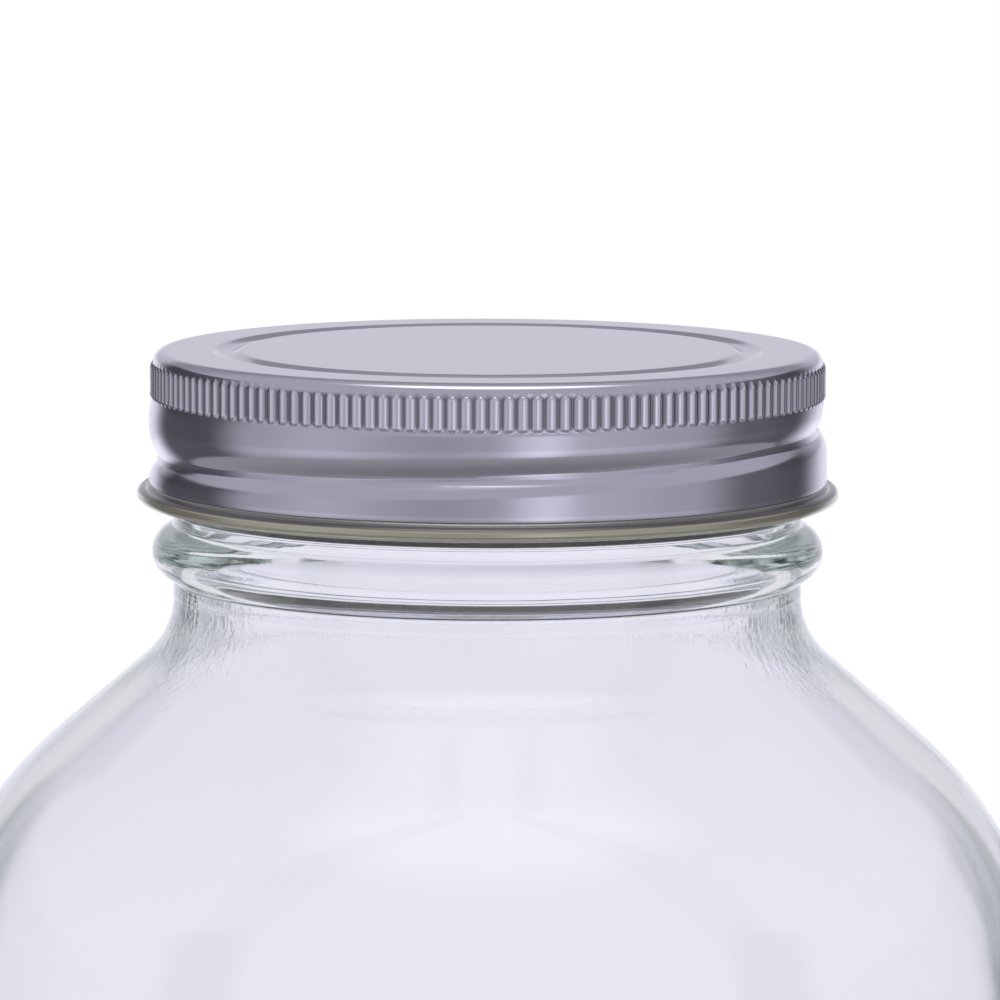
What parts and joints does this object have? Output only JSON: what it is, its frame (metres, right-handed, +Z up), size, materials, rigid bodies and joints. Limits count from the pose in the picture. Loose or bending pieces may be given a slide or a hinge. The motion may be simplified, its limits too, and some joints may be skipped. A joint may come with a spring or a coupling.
{
  "type": "glass storage jar",
  "caption": "Clear round-shouldered glass storage jar with a transfer ring under the neck, closed by a knurled tinplate screw lid with a sealing ring.",
  "frame": {"origin": "centre of the plane that the foot ring rests on", "axes": "+Z up along the jar's axis, -Y towards the side that the thread shows on, +X to the right of it"},
  "size_m": [0.152, 0.152, 0.246],
  "materials": {
    "clear_glass": "polished colourless glass",
    "tinplate": "satin tin over steel",
    "sealing_compound": "matte"
  },
  "bodies": {
    "root": {"jar": "clear_glass", "lid": "tinplate", "lid_liner": "sealing_compound"}
  },
  "joints": []
}
